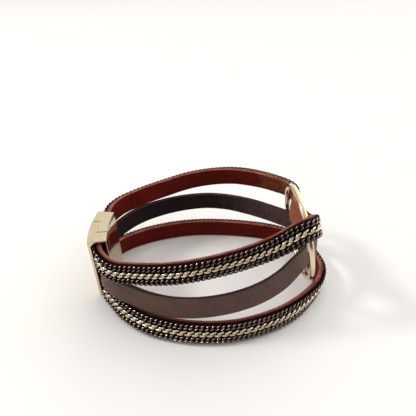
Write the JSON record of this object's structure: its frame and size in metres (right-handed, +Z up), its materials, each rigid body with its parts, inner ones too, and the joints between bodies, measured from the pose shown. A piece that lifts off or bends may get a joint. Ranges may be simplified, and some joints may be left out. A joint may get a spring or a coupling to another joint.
{
  "type": "leather strap bracelet",
  "caption": "Closed leather strap bracelet with a magnetic clasp, curb chain trim and a metal ring, standing on its edge.",
  "frame": {"origin": "middle of the bounding box, on the floor that the bracelet stands on", "axes": "+X from the clasp towards the ring along the longest extent, +Y away from the viewer, +Z up, along the axis of the wrist and the shortest extent"},
  "size_m": [0.0711, 0.0545, 0.0322],
  "materials": {
    "clasp_gold": "champagne gold plating, satin on top and polished at the sides",
    "ring_gold": "polished champagne gold plating",
    "gold_chain": "champagne gold plated curb links",
    "black_chain": "gunmetal plated curb links",
    "suede_leather": "dark leather face, red brown suede back and paler cut edges",
    "taupe_leather": "smooth taupe leather with darker cut edges"
  },
  "bodies": {
    "root": {"clasp_front": "clasp_gold", "clasp_rear": "clasp_gold", "strap_top": "suede_leather", "strap_middle": "taupe_leather", "strap_bottom": "suede_leather", "chain_top_black_upper": "black_chain", "chain_top_gold": "gold_chain", "chain_top_black_lower": "black_chain", "chain_bottom_black_upper": "black_chain", "chain_bottom_gold": "gold_chain", "chain_bottom_black_lower": "black_chain", "ring": "ring_gold"}
  },
  "joints": []
}
